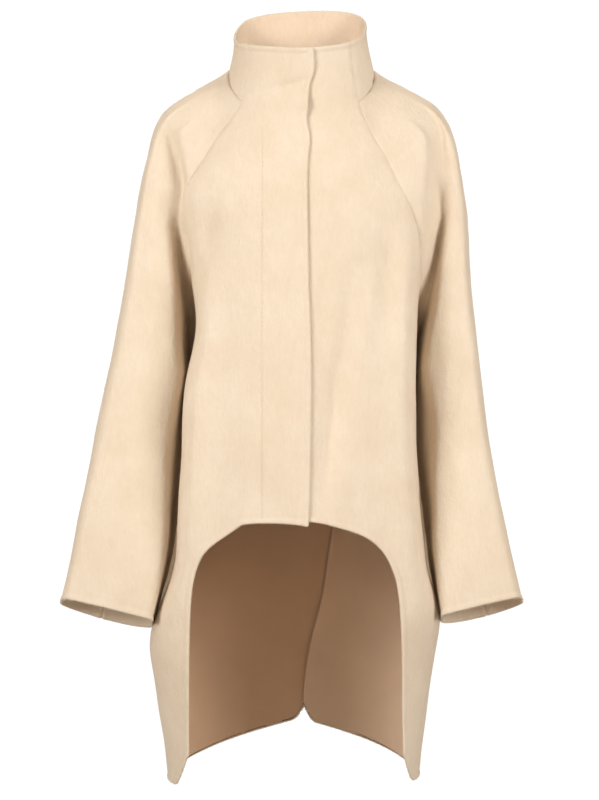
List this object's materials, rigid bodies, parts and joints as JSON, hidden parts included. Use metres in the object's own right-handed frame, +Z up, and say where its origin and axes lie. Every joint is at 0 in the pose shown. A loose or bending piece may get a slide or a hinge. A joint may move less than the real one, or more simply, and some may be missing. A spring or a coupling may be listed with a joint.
{
  "type": "knit coat",
  "caption": "Hollow felted wool coat with funnel collar, raglan sleeves, hidden front closure and a hem arched short in front and long behind.",
  "frame": {"origin": "centre of the neck base, where the wearer's neck and shoulders carry the coat", "axes": "+Z up, the coat faces -Y, +X is the wearer's left"},
  "size_m": [0.6601, 0.3404, 1.1184],
  "materials": {
    "wool": "brushed felted wool",
    "lining": "smooth matt lining"
  },
  "bodies": {
    "root": {"front_right": "wool", "front_left": "wool", "back_right": "wool", "back_left": "wool", "sleeve_right_front": "wool", "sleeve_right_back": "wool", "sleeve_left_front": "wool", "sleeve_left_back": "wool", "collar": "wool", "lining_right": "lining", "lining_left": "lining"}
  },
  "joints": []
}
